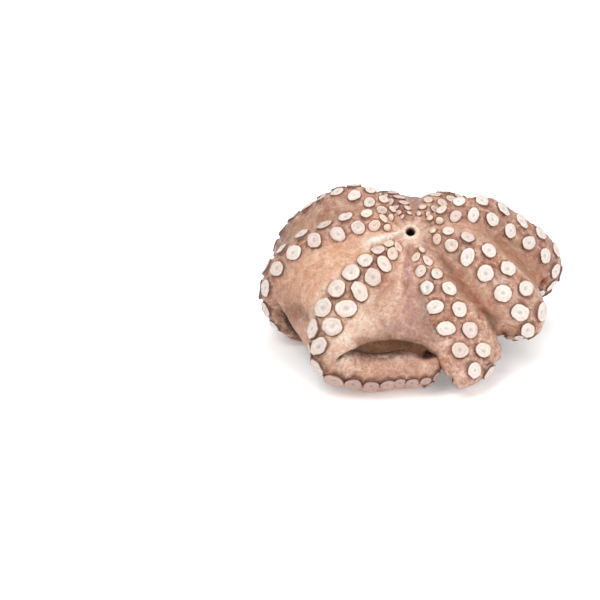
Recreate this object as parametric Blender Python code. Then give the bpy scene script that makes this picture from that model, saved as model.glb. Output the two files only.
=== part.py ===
# A curled octopus lying on its mantle with its mouth up: eight arms joined by a web,
# each rising from the mouth, bending over and curling in under itself, the front left one
# laid along the ground as a loop. Millimetres inside, metres in the mesh, +Z up, front -Y.
import bpy
import bmesh
import numpy as np
from math import cos, pi, radians, sin

# the mouth and the lean of the crown towards the front
mouthHeight = 125.0
crownTilt = radians(35)
lipRadius = 9.0
# plan position of the mouth from the middle of the whole
mouthPlan = (-7.2, -14.0)
# how near the ground the outer side of a curled arm comes
groundGap = 2.5
# distances from the mouth at which an arm's height is given
stations = (38.0, 72.0, 106.0)
# distance from the middle where the curled-in tips end
tipDistance = 73.0
# where the web meets an arm, as an angle of its section, above and below
upperFlank = radians(38)
lowerFlank = radians(-35)
sectionPower = 2.2
# length over which a bend of an arm is eased
kneeEase = 9.0
# how level the web leaves an arm
webSpread = 1.5
# web thickness between two arms, in the middle and beside them
webThin = 5.0
webThick = 8.0
# suckers that the solid carries, and how far they stand out
solidSuckers = 112
suckerSides = 8
suckerProud = 3.6
suckerSunk = 2.6

# near, middle and far: heights of the oral side at the stations
# reach, rim, foot, under: the outermost point, its height, and the lowest point of the curl
# web: length along the arm that the web follows, wide: half width
# cup: largest sucker, pitch: sucker spacing over its size, roll: turn of the oral side
# flare and lap: how much wider the skin is on the next and on the last arm's side
arms = {
    "rightFront": dict(heading=-27, swing=3, near=129, middle=116, far=87, reach=133, rim=49,
                       foot=119, under=32, sweep=0, tail=0.2, web=188, wide=25, deep=0.28,
                       full=0.45, splay=0.0, roll=0, rolls=(25, 95), cup=17, pitch=1.57,
                       lap=0.2),
    "right": dict(heading=19, swing=-3, near=141, middle=142, far=121, reach=161, rim=46,
                  foot=130, under=32, sweep=36, tail=0.8, web=190, wide=24, deep=0.42,
                  full=0.45, splay=0.0, roll=-8, rolls=(25, 95), cup=15, pitch=1.77),
    "rightBack": dict(heading=58, swing=-4, near=138, middle=138, far=120, reach=150, rim=60,
                      foot=112, under=14, sweep=38, tail=0.8, web=168, wide=23, deep=0.5,
                      full=0.45, splay=0.0, roll=16, rolls=(25, 95), cup=13, pitch=1.5),
    "back": dict(heading=97, swing=12, near=132, middle=131, far=120, reach=148, rim=56,
                 foot=110, under=groundGap, sweep=30, tail=0.8, web=160, wide=22, deep=0.5,
                 full=0.45, splay=0.0, roll=0, rolls=(25, 95), cup=12.5, pitch=1.5),
    "leftBack": dict(heading=143, swing=3, near=148, middle=153, far=134, reach=156, rim=58,
                     foot=116, under=12, sweep=24, tail=0.8, web=168, wide=22, deep=0.5,
                     full=0.45, splay=0.0, roll=-34, rolls=(25, 95), cup=14, pitch=1.6),
    "left": dict(heading=176, swing=3, near=138, middle=129, far=115, reach=145, rim=64,
                 foot=112, under=groundGap, sweep=30, tail=0.8, web=172, wide=23, deep=0.5,
                 full=0.5, splay=0.0, roll=-28, rolls=(25, 95), cup=16.5, pitch=1.54),
    "laid": dict(web=188, wide=26, deep=0.8, full=0.7, splay=0.0, roll=-34,
                 rolls=(120, 230), cup=18.5, pitch=1.23),
    "front": dict(heading=-76, swing=19, near=105, middle=81, far=46, reach=121, rim=30,
                  foot=100, under=groundGap, sweep=8, tail=0.1, web=117, wide=32, deep=0.3,
                  full=0.78, splay=0.8, roll=24, rolls=(95, 150), cup=17, pitch=1.42,
                  flare=0.4),
}
# the laid arm: a leg down to a knee, a run along the front and a curl back under the web
laidLeg = ((38, -131, 118), (73, -133, 104), (103, -134, 87), (125, -135, 66), (136, -135, 42))
laidKnee = ((-86, -103, 23), (-62, -107, 16))
laidFront = -109.0
# further turn of its oral side round the outside of the knee, and where along the arm
kneeTwist = radians(-46)
kneeAt = 162.0
kneeSpan = 38.0
laidHeight = 14.0
laidCurl = dict(x=4, y=-83, radius=23, turn=175, rise=9)
# web from each arm to the next: how deep it sags, how far its edge draws back, how it swells
webs = {
    "rightFront": (0.85, 0.08, 0), "right": (0.35, 0.10, 0), "rightBack": (1.5, 0.12, 0),
    "back": (0.9, 0.12, 0), "leftBack": (0.7, 0.08, 0), "left": (0.35, 0.04, 4),
    "laid": (0.3, 0.25, 9), "front": (0.9, -0.12, 0),
}
# head and mantle under the crown: height, radius, share of a true circle
mantleMiddle = (-8.0, 8.0)
mantle = ((97, 42, 0.35), (86, 47, 0.75), (74, 48, 1), (60, 54, 1), (42, 59, 1), (22, 60, 1),
          (5, 56, 1), (-6, 46, 1), (-6, 20, 1))
mantleJoin = 45.0
mouthSteps = ((0.72, -0.3), (0.5, 0.6), (0.34, 2.5), (0.22, 6.5))


def unit(v):
    return v / np.linalg.norm(v, axis=-1, keepdims=True)


def smooth(low, high, x):
    t = np.clip((np.asarray(x, float) - low) / (high - low), 0, 1)
    return t * t * (3 - 2 * t)


def spline(knots, values, at):
    """A natural cubic through the values at the knots."""
    count = len(knots)
    step = np.diff(knots)
    matrix = np.zeros((count, count))
    right = np.zeros((count, values.shape[1]))
    matrix[0, 0] = matrix[-1, -1] = 1
    for i in range(1, count - 1):
        matrix[i, i - 1:i + 2] = step[i - 1], 2 * (step[i - 1] + step[i]), step[i]
        right[i] = 6 * ((values[i + 1] - values[i]) / step[i]
                        - (values[i] - values[i - 1]) / step[i - 1])
    bend = np.linalg.solve(matrix, right)
    i = np.clip(np.searchsorted(knots, at) - 1, 0, count - 2)
    after = (at - knots[i])[:, None]
    before = (knots[i + 1] - at)[:, None]
    h = step[i][:, None]
    return ((bend[i] * before ** 3 + bend[i + 1] * after ** 3) / (6 * h)
            + (values[i] / h - bend[i] * h / 6) * before
            + (values[i + 1] / h - bend[i + 1] * h / 6) * after)


def lipPoint(heading):
    x, y = cos(heading), sin(heading)
    return (lipRadius * x, lipRadius * y * cos(crownTilt),
            mouthHeight + lipRadius * y * sin(crownTilt))


def curledRoute(a):
    """Points of the line between an arm's two rows of suckers, from the lips to the tip."""
    points = [(r, a[h], r / a["reach"], 0) for r, h in zip(stations, ("near", "middle", "far"))]
    points.append((a["reach"], a["rim"], 1, 0))
    for turn in (radians(-45), radians(-90)):
        points.append((a["foot"] + (a["reach"] - a["foot"]) * cos(turn),
                       a["rim"] + (a["rim"] - a["under"]) * sin(turn), 1, 0))
    for share in (0.3, 0.55, 0.8, 1.0):
        f = share * a["tail"]
        settled = smooth(0, 1, f)
        points.append((a["foot"] + (tipDistance - a["foot"]) * sin(f * pi / 2),
                       a["under"] * (1 - settled) + (groundGap + 4 * f * f) * settled, 1, f * f))
    route = [lipPoint(radians(a["heading"]))]
    for distance, height, out, along in points:
        heading = radians(a["heading"] + a["swing"] * out + a["sweep"] * along)
        route.append((distance * cos(heading), distance * sin(heading), height))
    return np.array(route)


def laidRoute():
    route = [lipPoint(radians(laidLeg[0][1]))]
    for distance, heading, height in laidLeg:
        route.append((distance * cos(radians(heading)), distance * sin(radians(heading)), height))
    route.extend(laidKnee)
    route.append((laidKnee[-1][0] / 2, laidFront, laidHeight))
    for i in range(6):
        turn = radians(laidCurl["turn"] * i / 5 - 115)
        route.append((laidCurl["x"] + laidCurl["radius"] * cos(turn),
                      laidCurl["y"] + laidCurl["radius"] * sin(turn),
                      laidHeight + laidCurl["rise"] * (i + 1) / 6))
    return np.array(route)


class Arm:
    """A line with a frame and a section: oral normal, side, half width, depths each way."""

    def __init__(self, name):
        a = self.sizes = arms[name]
        self.name = name
        points = laidRoute() if name == "laid" else curledRoute(a)
        chords = np.linalg.norm(np.diff(points, axis=0), axis=1)
        knots = np.concatenate([[0], np.cumsum(chords)])
        fine = spline(knots, points, np.linspace(0, knots[-1], 3000))
        length = np.concatenate([[0], np.cumsum(np.linalg.norm(np.diff(fine, axis=0), axis=1))])
        self.length = length[-1]
        s = self.s = np.linspace(0, self.length, 600)
        line = np.stack([np.interp(s, length, fine[:, i]) for i in range(3)], 1)
        reach = round(kneeEase / s[1])
        for _ in range(2):
            padded = np.concatenate([2 * line[0] - line[reach:0:-1], line,
                                     2 * line[-1] - line[-2:-reach - 2:-1]])
            sums = np.cumsum(np.concatenate([np.zeros((1, 3)), padded]), 0)
            line = (sums[2 * reach + 1:] - sums[:-2 * reach - 1]) / (2 * reach + 1)
        self.line = line
        forward = unit(np.gradient(self.line, s, axis=0))
        normal = np.zeros_like(forward)
        last = np.array([0, -sin(crownTilt), cos(crownTilt)])
        for i, t in enumerate(forward):
            last = normal[i] = unit(last - (last @ t) * t)
        turn = radians(a["roll"]) * smooth(*a["rolls"], s)
        if name == "laid":
            turn = turn + kneeTwist * np.exp(-((s - kneeAt) / kneeSpan) ** 2)
        side = np.cross(normal, forward)
        self.forward = forward
        self.normal = normal * np.cos(turn)[:, None] + side * np.sin(turn)[:, None]
        self.side = np.cross(self.normal, forward)
        curve = np.linalg.norm(np.gradient(forward, s, axis=0), axis=1)
        bend = 1 / np.maximum(self.even(curve, 15), 1e-4)
        away = np.linalg.norm(self.line[:, :2], axis=1)
        near = 0.245 * away * (1 + a["splay"] * smooth(70, 120, s))
        near = np.where(s > 80, np.maximum(near, 30), near)
        f = a["full"]
        taper = np.interp(s / self.length, [0, f, 0.65 * f + 0.35, 0.3 * f + 0.7, 0.975, 1],
                          [1, 1, 0.86, 0.52, 0.24, 0.14])
        width = np.minimum((near ** -3 + a["wide"] ** -3.0) ** (-1 / 3), a["wide"] * taper)
        self.width = self.even(width, 9)
        deep = np.interp(s, [0, 30, 70, 115, 220],
                         [0.5, 0.62, 0.62, min(0.62, a["deep"]), a["deep"]])
        self.above = self.even(np.minimum(0.62 * self.width, np.minimum(14.5, 0.46 * bend)), 12)
        self.below = self.even(np.minimum(deep * self.width, 0.3 * bend), 12)
        self.flare = a.get("flare", 0) * smooth(60, 110, s) * (1 - smooth(140, 170, s))
        self.lap = a.get("lap", 0) * smooth(120, 160, s) * (1 - smooth(190, 215, s))

    def even(self, values, reach):
        padded = np.pad(values, reach, mode="edge")
        return np.convolve(padded, np.ones(2 * reach + 1) / (2 * reach + 1), "valid")

    def at(self, s):
        def read(values):
            return np.stack([np.interp(s, self.s, values[:, i]) for i in range(3)], -1)
        return (read(self.line), unit(read(self.forward)), unit(read(self.normal)),
                unit(read(self.side)), np.interp(s, self.s, self.width),
                np.interp(s, self.s, self.above), np.interp(s, self.s, self.below))

    def skin(self, s, angle):
        """Points at length s and section angle: 0 at the next arm's side, 90 degrees oral."""
        s, angle = np.broadcast_arrays(np.asarray(s, float), np.asarray(angle, float))
        line, forward, normal, side, width, above, below = self.at(s)
        c, q = np.cos(angle), np.sin(angle)
        x = width * np.sign(c) * np.abs(c) ** (2 / sectionPower)
        x = x * (1 + np.where(c > 0, np.interp(s, self.s, self.flare),
                              np.interp(s, self.s, self.lap)))
        y = np.where(q > 0, above, below) * np.sign(q) * np.abs(q) ** (2 / sectionPower)
        return line + side * x[..., None] + normal * (y - above)[..., None]

    def leaving(self, s, way):
        """Direction in which the web leaves the arm on its next or last side."""
        line, forward, normal, side, width, above, below = self.at(s)
        return unit(side * (way * webSpread * width * sin(upperFlank))[..., None]
                    - normal * (above * cos(upperFlank))[..., None])

    def suckers(self):
        """Two staggered rows: centre, outward direction and size of each sucker."""
        s, way, found = 15.0, 1, []
        sizes = ([0, 10, 30, 60, 100, 140, 180, 230, 330, 400],
                 [0.3, 0.42, 0.7, 0.9, 0.98, 1, 0.98, 0.76, 0.42, 0.15])
        while s < self.length - 6:
            size = self.sizes["cup"] * np.interp(s, *sizes)
            if s > 150:
                size *= min(1.0, np.interp(s, self.s, self.width) / 15)
            if size < 2.5:
                break
            found.append((s, way, size))
            s += 0.5 * self.sizes["pitch"] * size * np.interp(s, [190, 240], [1, 0.84])
            way = -way
        s, way, size = np.array(found).T
        width = np.interp(s, self.s, self.width)
        x = np.minimum((0.53 if self.name == "laid" else 0.62) * size / width, 0.62)
        x = x / (1 + np.where(way > 0, np.interp(s, self.s, self.flare),
                              np.interp(s, self.s, self.lap)))
        angle = np.arccos(x ** (sectionPower / 2))
        angle = np.where(way > 0, angle, pi - angle)
        across = self.skin(s, angle - 0.02) - self.skin(s, angle + 0.02)
        along = self.skin(s + 0.5, angle) - self.skin(s - 0.5, angle)
        outward = unit(np.cross(along, across))
        line, forward, normal, side = self.at(s)[:4]
        outward *= np.sign((outward * (side * (way * x)[:, None] + normal)).sum(-1, keepdims=True))
        return self.skin(s, angle), outward, size


class Skin:
    """Points and faces of one closed surface."""

    def __init__(self):
        self.points = np.zeros((0, 3))
        self.faces = []

    def add(self, points):
        points = np.asarray(points, float)
        first = len(self.points)
        self.points = np.concatenate([self.points, points.reshape(-1, 3)])
        return np.arange(first, len(self.points)).reshape(points.shape[:-1])

    def sheet(self, grid, turned=False):
        faces = np.stack([grid[:-1, :-1], grid[1:, :-1], grid[1:, 1:], grid[:-1, 1:]], -1)
        faces = faces.reshape(-1, 4)
        self.faces.extend((faces[:, ::-1] if turned else faces).tolist())

    def fan(self, ring, point):
        for a, b in zip(ring[:-1], ring[1:]):
            self.faces.append([int(b), int(a), int(point)])


def webGrid(a, b, t, share):
    """Upper and lower points of the web from arm a to arm b."""
    sag, back, swell = webs[a.name]
    share = share[:, None] * (1 - back * 4 * t * (1 - t))[None, :]
    sa, sb = a.sizes["web"] * share, b.sizes["web"] * share
    start, end = a.skin(sa, upperFlank), b.skin(sb, pi - upperFlank)
    gap = sag * np.linalg.norm(end - start, axis=-1, keepdims=True)
    u = t[None, :, None]
    upper = ((2 * u ** 3 - 3 * u ** 2 + 1) * start + (3 * u ** 2 - 2 * u ** 3) * end
             + (u ** 3 - 2 * u ** 2 + u) * gap * a.leaving(sa, 1)
             - (u ** 3 - u ** 2) * gap * b.leaving(sb, -1))
    normal = unit(a.at(sa)[2] * (1 - u) + b.at(sb)[2] * u)
    upper = upper + normal * (swell * smooth(0.15, 0.7, share) * np.sin(pi * t))[..., None]
    face = unit(np.cross(np.gradient(upper, axis=0), np.gradient(upper, axis=1)))
    face *= np.sign((face * normal).sum(-1, keepdims=True))
    nearA, nearB = (1 - u) ** 4, u ** 4
    thick = webThin + (webThick - webThin) * (2 * u - 1) ** 2
    lower = (upper + nearA * (a.skin(sa, lowerFlank) - start)
             + nearB * (b.skin(sb, pi - lowerFlank) - end) - (1 - nearA - nearB) * face * thick)
    return upper, lower


def octopusSkin(crest, between, edge, under, rows, step):
    """The whole skin, with this many pieces across an arm's oral side, a web, its edge and the
    underside, this many rows along the web, and free arms in steps of this length."""
    body = Skin()
    all8 = [Arm(name) for name in arms]
    share = np.linspace(0, 1, rows + 1)
    first = int(np.ceil(mantleJoin / 140 * rows))
    oral = np.linspace(pi - upperFlank, upperFlank, crest + 1)
    aboral = np.linspace(pi - lowerFlank, 2 * pi + lowerFlank, under + 1)
    flank = np.linspace(upperFlank, lowerFlank, edge + 1)[1:-1]
    t = np.linspace(0, 1, between + 1)
    lengths = [(arm.sizes["web"] * share)[:, None] for arm in all8]
    tops = [body.add(arm.skin(s, oral[None])) for arm, s in zip(all8, lengths)]
    bottoms = [body.add(arm.skin(s[first:], aboral[None])) for arm, s in zip(all8, lengths)]
    upperWebs, lowerWebs, flankIds = [], [], [[None, None] for _ in all8]
    for i, arm in enumerate(all8):
        j = (i + 1) % 8
        upper, lower = webGrid(arm, all8[j], t, share)
        upperWebs.append(np.concatenate(
            [tops[i][:, -1:], body.add(upper[:, 1:-1]), tops[j][:, :1]], 1))
        lowerWebs.append(np.concatenate(
            [bottoms[i][:, -1:], body.add(lower[first:, 1:-1]), bottoms[j][:, :1]], 1))
        high, low = upper[-1], lower[-1]
        outward = unit(upper[-1] - upper[-2])
        half = np.linalg.norm(high - low, axis=1, keepdims=True) / 2
        nearA, nearB = ((1 - t) ** 4)[:, None], (t ** 4)[:, None]
        strips = [upperWebs[i][-1]]
        for k, angle in enumerate(flank):
            f = (k + 1) / edge
            middle = high * (1 - f) + low * f
            middle = middle + outward * half * sin(pi * f) * np.sin(pi * t)[:, None]
            middle = (middle * (1 - nearA - nearB) + nearA * arm.skin(arm.sizes["web"], angle)
                      + nearB * all8[j].skin(all8[j].sizes["web"], pi - angle))
            strips.append(body.add(middle))
        strips.append(lowerWebs[i][-1])
        strips = np.stack(strips)
        body.sheet(strips)
        flankIds[i][1], flankIds[j][0] = strips[:, 0], strips[:, -1]
    for i, arm in enumerate(all8):
        body.sheet(tops[i])
        body.sheet(upperWebs[i])
        body.sheet(bottoms[i], True)
        body.sheet(lowerWebs[i], True)
        last, following = flankIds[i]
        angles = np.concatenate([oral, flank, (aboral - 2 * pi)[::-1], (pi - flank)[::-1]])
        ring = np.concatenate([tops[i][-1], following[1:-1], bottoms[i][-1][::-1],
                               last[1:-1][::-1]])
        pieces = max(3, round((arm.length - arm.sizes["web"]) / step))
        s = np.linspace(arm.sizes["web"], arm.length, pieces + 1)[1:, None]
        tube = np.concatenate([ring[None], body.add(arm.skin(s, angles[None]))])
        tube = np.concatenate([tube, tube[:, :1]], 1)
        body.sheet(tube)
        line, forward, normal, side, width, above, below = arm.at(arm.length)
        body.fan(tube[-1], body.add(line - normal * above + forward * width * 0.9))
    axis = np.array([0, -sin(crownTilt), cos(crownTilt)])
    ring = np.concatenate([np.concatenate([tops[i][0][:-1], upperWebs[i][0][:-1]])
                           for i in range(8)])
    centre = body.points[ring].mean(0)
    offset = body.points[ring] - centre
    rise = (offset @ axis)[:, None] * axis
    flat = offset - rise
    flat = unit(flat) * (0.3 * np.linalg.norm(flat, axis=1, keepdims=True) + 0.7 * lipRadius)
    rings = [ring]
    for scale, depth in mouthSteps:
        rings.append(body.add(centre + flat * scale + rise * max(0, scale - 0.4) - axis * depth))
    rings = np.stack(rings)
    rings = np.concatenate([rings, rings[:, :1]], 1)
    body.sheet(rings, True)
    body.fan(rings[-1][::-1], body.add(centre - axis * (mouthSteps[-1][1] + 1.5)))
    ring = np.concatenate([np.concatenate([bottoms[i][0][:-1], lowerWebs[i][0][:-1]])
                           for i in range(8)])
    inner = body.points[ring]
    middles = np.array([body.points[grid[0]][:, :2].mean(0) for grid in bottoms])
    headings = np.unwrap(np.arctan2(middles[:, 1], middles[:, 0]))
    places = np.arange(8) * (len(ring) // 8) + under / 2
    turn = np.interp(np.arange(len(ring)),
                     np.concatenate([[places[-1] - len(ring)], places, [places[0] + len(ring)]]),
                     np.concatenate([[headings[-1] - 2 * pi], headings, [headings[0] + 2 * pi]]))
    rings = [ring]
    for height, radius, true in mantle:
        circle = np.stack([mantleMiddle[0] * true + radius * np.cos(turn),
                           mantleMiddle[1] * true + 0.94 * radius * np.sin(turn),
                           np.full_like(turn, height)], 1)
        drawn = inner.copy()
        drawn[:, 2] += (height - inner[:, 2]) * true
        rings.append(body.add(drawn * (1 - true) + circle * true))
    rings = np.stack(rings)
    rings = np.concatenate([rings, rings[:, :1]], 1)
    body.sheet(rings)
    body.fan(rings[-1], body.add([*mantleMiddle, mantle[-1][0]]))
    return body, all8


def meshObject(name, points, faces, collection):
    mesh = bpy.data.meshes.new(name)
    plan = np.array([mouthPlan[0], mouthPlan[1], 0])
    mesh.from_pydata(((np.asarray(points) + plan) / 1000).tolist(), [], faces)
    mesh.validate()
    mesh.update()
    obj = bpy.data.objects.new(name, mesh)
    collection.objects.link(obj)
    return obj


def suckerMesh(centre, outward, size):
    """A flared disc with a shallow cup, standing on the skin."""
    across = unit(np.cross(outward, [0.31, 0.17, 0.93]))
    along = np.cross(outward, across)
    turns = np.arange(suckerSides) * 2 * pi / suckerSides
    ring = np.cos(turns)[:, None] * across + np.sin(turns)[:, None] * along
    points = np.concatenate([
        centre - outward * suckerSunk + ring * size * 0.40,
        centre + outward * suckerProud + ring * size * 0.50,
        [centre - outward * suckerSunk, centre + outward * (suckerProud - 0.09 * size)],
    ])
    n = suckerSides
    faces = []
    for i in range(n):
        j = (i + 1) % n
        faces += [[i, j, n + j, n + i], [n + i, n + j, 2 * n + 1], [j, i, 2 * n]]
    return points, faces


def clear():
    for obj in list(bpy.data.objects):
        bpy.data.objects.remove(obj, do_unlink=True)


def combine(obj, operation, other):
    """Adds or takes away an object, or all of a collection, and leaves a plain mesh."""
    modifier = obj.modifiers.new(operation.lower(), "BOOLEAN")
    modifier.operation = operation
    modifier.solver = "EXACT"
    many = isinstance(other, bpy.types.Collection)
    if many:
        modifier.operand_type = "COLLECTION"
        modifier.collection = other
        modifier.use_self = True
    else:
        modifier.object = other
    bpy.context.view_layer.update()
    graph = bpy.context.evaluated_depsgraph_get()
    result = bpy.data.meshes.new_from_object(obj.evaluated_get(graph))
    obj.modifiers.clear()
    obj.data = result
    for used in list(other.objects) if many else [other]:
        bpy.data.objects.remove(used, do_unlink=True)
    if many:
        bpy.data.collections.remove(other)


def inTriangles(obj):
    shape = bmesh.new()
    shape.from_mesh(obj.data)
    bmesh.ops.remove_doubles(shape, verts=shape.verts, dist=1e-6)
    bmesh.ops.dissolve_degenerate(shape, edges=shape.edges, dist=1e-5)
    bmesh.ops.triangulate(shape, faces=shape.faces)
    box = np.array([v.co for v in shape.verts]) * 1000
    print(obj.name, "box", box.min(0).round(2), box.max(0).round(2),
          "litres", round(shape.calc_volume(signed=True) * 1000, 3),
          "triangles", len(shape.faces),
          "open", sum(not edge.is_manifold for edge in shape.edges))
    shape.to_mesh(obj.data)
    shape.free()


def main():
    clear()
    scene = bpy.context.scene.collection
    body, all8 = octopusSkin(crest=6, between=2, edge=1, under=4, rows=13, step=13)
    octopus = meshObject("octopus", body.points, body.faces, scene)
    inTriangles(octopus)
    found = []
    for arm in all8:
        for centre, outward, size in zip(*arm.suckers()):
            if centre[2] + outward[2] * suckerProud > 3.5 + max(0, -outward[2]) * size:
                found.append((size, centre, outward))
    found.sort(key=lambda item: -item[0])
    cups = bpy.data.collections.new("suckers")
    scene.children.link(cups)
    pieces = [meshObject(f"sucker{i}", *suckerMesh(centre, outward, size), scene)
              for i, (size, centre, outward) in enumerate(found[:solidSuckers])]
    for piece in pieces[1:]:
        scene.objects.unlink(piece)
        cups.objects.link(piece)
    combine(pieces[0], "UNION", cups)
    inTriangles(pieces[0])
    combine(octopus, "UNION", pieces[0])
    ground = [(x, y, z) for z in (-60, 0) for x, y in ((-300, -300), (300, -300), (300, 300), (-300, 300))]
    sides = [[3, 2, 1, 0], [4, 5, 6, 7]] + [[i, (i + 1) % 4, 4 + (i + 1) % 4, 4 + i]
                                           for i in range(4)]
    combine(octopus, "DIFFERENCE", meshObject("ground", ground, sides, scene))
    inTriangles(octopus)
    print("suckers", len(found), "smallest kept", round(found[solidSuckers - 1][0], 1))
    flesh = bpy.data.materials.new("flesh")
    flesh.use_nodes = True
    surface = flesh.node_tree.nodes["Principled BSDF"]
    surface.inputs["Base Color"].default_value = (0.56, 0.33, 0.21, 1)
    surface.inputs["Roughness"].default_value = 0.4
    octopus.data.materials.clear()
    octopus.data.materials.append(flesh)
    octopus.name = octopus.data.name = "octopus"


main()
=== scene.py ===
# The looks of a raw octopus that lies on its head with the mouth up: fine skin, cream suckers
# and lips, on a pale floor in soft studio light. Shapes are worked out in millimetres from the
# mouth's place on the ground, and go into the meshes in metres.
from math import cos, pi, radians, sin
from types import SimpleNamespace

import bpy
import numpy as np
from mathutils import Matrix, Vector, kdtree, noise


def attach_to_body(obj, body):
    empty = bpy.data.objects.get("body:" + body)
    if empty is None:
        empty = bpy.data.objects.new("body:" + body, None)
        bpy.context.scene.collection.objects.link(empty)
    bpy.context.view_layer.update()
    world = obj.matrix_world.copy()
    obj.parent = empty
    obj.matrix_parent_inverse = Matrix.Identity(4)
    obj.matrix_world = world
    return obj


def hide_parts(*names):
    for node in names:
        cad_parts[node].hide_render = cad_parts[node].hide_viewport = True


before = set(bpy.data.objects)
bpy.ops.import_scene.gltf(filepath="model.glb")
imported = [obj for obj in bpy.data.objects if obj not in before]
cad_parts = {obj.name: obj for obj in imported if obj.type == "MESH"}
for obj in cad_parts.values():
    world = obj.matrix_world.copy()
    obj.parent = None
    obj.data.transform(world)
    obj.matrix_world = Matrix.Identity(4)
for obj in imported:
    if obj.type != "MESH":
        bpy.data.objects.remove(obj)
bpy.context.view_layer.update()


def unit(v):
    return v / np.linalg.norm(v, axis=-1, keepdims=True)


def smooth(low, high, x):
    t = np.clip((np.asarray(x, float) - low) / (high - low), 0, 1)
    return t * t * (3 - 2 * t)


# red, green and blue of a hex code, as a screen shows them
def shown(code):
    return np.array([int(code[i:i + 2], 16) / 255 for i in (0, 2, 4)])


# the same made linear, with full alpha, for codes and for arrays of shown tones
def linear(tone):
    tone = shown(tone) if isinstance(tone, str) else np.asarray(tone, float)
    low = tone / 12.92
    high = ((np.clip(tone, 0, None) + 0.055) / 1.055) ** 2.4
    made = np.where(tone <= 0.04045, low, high)
    return np.concatenate([made, np.ones(made.shape[:-1] + (1,))], -1)


# length along a line from its first point to each
def lengthsOf(points):
    return np.concatenate([[0], np.cumsum(np.linalg.norm(np.diff(points, axis=0), axis=1))])


# a natural cubic through the values at the knots
def spline(knots, values, at):
    count = len(knots)
    step = np.diff(knots)
    matrix = np.zeros((count, count))
    right = np.zeros((count, values.shape[1]))
    matrix[0, 0] = matrix[-1, -1] = 1
    for i in range(1, count - 1):
        matrix[i, i - 1:i + 2] = step[i - 1], 2 * (step[i - 1] + step[i]), step[i]
        right[i] = 6 * ((values[i + 1] - values[i]) / step[i]
                        - (values[i] - values[i - 1]) / step[i - 1])
    bend = np.linalg.solve(matrix, right)
    i = np.clip(np.searchsorted(knots, at) - 1, 0, count - 2)
    after = (at - knots[i])[:, None]
    before = (knots[i + 1] - at)[:, None]
    h = step[i][:, None]
    return ((bend[i] * before ** 3 + bend[i + 1] * after ** 3) / (6 * h)
            + (values[i] / h - bend[i] * h / 6) * before
            + (values[i + 1] / h - bend[i + 1] * h / 6) * after)


# a grid of points whose last column meets its first
def closed(grid):
    return np.concatenate([grid, grid[:, :1]], 1)


# a search tree over points
def treeOf(points):
    tree = kdtree.KDTree(len(points))
    for i, point in enumerate(points):
        tree.insert(point, i)
    tree.balance()
    return tree


# the crown, as in the solid: the mouth's place and height, its lean, and the lips' radius
crown = dict(plan=(-7.2, -14.0), high=125.0, tilt=radians(35), lip=9.0)
crownAxis = np.array([0, -sin(crown["tilt"]), cos(crown["tilt"])])
groundGap = 2.5  # left under whatever rests on the ground
# for all arms: distances from the mouth at which heights are given, how far from it the tips
# end, over what length a line is evened, and how many points are drawn and kept
armRule = dict(stations=(38.0, 72.0, 106.0), tip=73.0, ease=9.0, drawn=3000, kept=600)

# heading: degrees from the right, turning towards the back
# near, middle and far: heights of the oral side at the stations
# reach, rim, foot, under: the outermost point, its height, and the lowest point of the curl
# swing and sweep: how far the heading turns on the way out, and in the curl
# tail: how far the curl goes on, full: share of the arm before it tapers
# web: length along the arm that the web follows, wide: half width, deep: depth over it
# splay: widening past the crown, flare and lap: widening on the next and on the last arm's side
# roll and rolls: turn of the oral side, and the lengths between which it turns
# cup: largest sucker, pitch: sucker spacing over its size
armUsual = dict(tail=0.8, full=0.45, splay=0.0, flare=0, lap=0, roll=0, rolls=(25, 95))
arms = {
    "rightFront": dict(armUsual, heading=-27, swing=3, near=129, middle=116, far=87, reach=133,
                       rim=49, foot=119, under=32, sweep=0, tail=0.2, web=188, wide=25,
                       deep=0.28, lap=0.2, cup=17, pitch=1.57),
    "right": dict(armUsual, heading=19, swing=-3, near=141, middle=142, far=121, reach=161,
                  rim=46, foot=130, under=32, sweep=36, web=190, wide=24, deep=0.42, roll=-8,
                  cup=15, pitch=1.77),
    "rightBack": dict(armUsual, heading=58, swing=-4, near=138, middle=138, far=120, reach=150,
                      rim=60, foot=112, under=14, sweep=38, web=168, wide=23, deep=0.5, roll=16,
                      cup=13, pitch=1.5),
    "back": dict(armUsual, heading=97, swing=12, near=132, middle=131, far=120, reach=148,
                 rim=56, foot=110, under=groundGap, sweep=30, web=160, wide=22, deep=0.5,
                 cup=12.5, pitch=1.5),
    "leftBack": dict(armUsual, heading=143, swing=3, near=148, middle=153, far=134, reach=156,
                     rim=58, foot=116, under=12, sweep=24, web=168, wide=22, deep=0.5, roll=-34,
                     cup=14, pitch=1.6),
    "left": dict(armUsual, heading=176, swing=3, near=138, middle=129, far=115, reach=145,
                 rim=64, foot=112, under=groundGap, sweep=30, web=172, wide=23, deep=0.5,
                 full=0.5, roll=-28, cup=16.5, pitch=1.54),
    "laid": dict(armUsual, web=188, wide=26, deep=0.8, full=0.7, roll=-34, rolls=(120, 230),
                 cup=18.5, pitch=1.23),
    "front": dict(armUsual, heading=-76, swing=19, near=105, middle=81, far=46, reach=121,
                  rim=30, foot=100, under=groundGap, sweep=8, tail=0.1, web=117, wide=32,
                  deep=0.3, full=0.78, splay=0.8, flare=0.4, roll=24, rolls=(95, 150), cup=17,
                  pitch=1.42),
}
armNames = list(arms)
# the laid arm: a leg down to a knee, given by distance, heading and height, a run along the
# front and a curl back under the web; it twists round its own line at the knee
laidForm = dict(
    leg=((38, -131, 118), (73, -133, 104), (103, -134, 87), (125, -135, 66), (136, -135, 42)),
    knee=((-86, -103, 23), (-62, -107, 16)), front=-109.0, high=14.0, x=4, y=-83, radius=23,
    start=-115, turn=175, rise=9, twist=radians(-46), twistAt=162.0, twistSpan=38.0)
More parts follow.
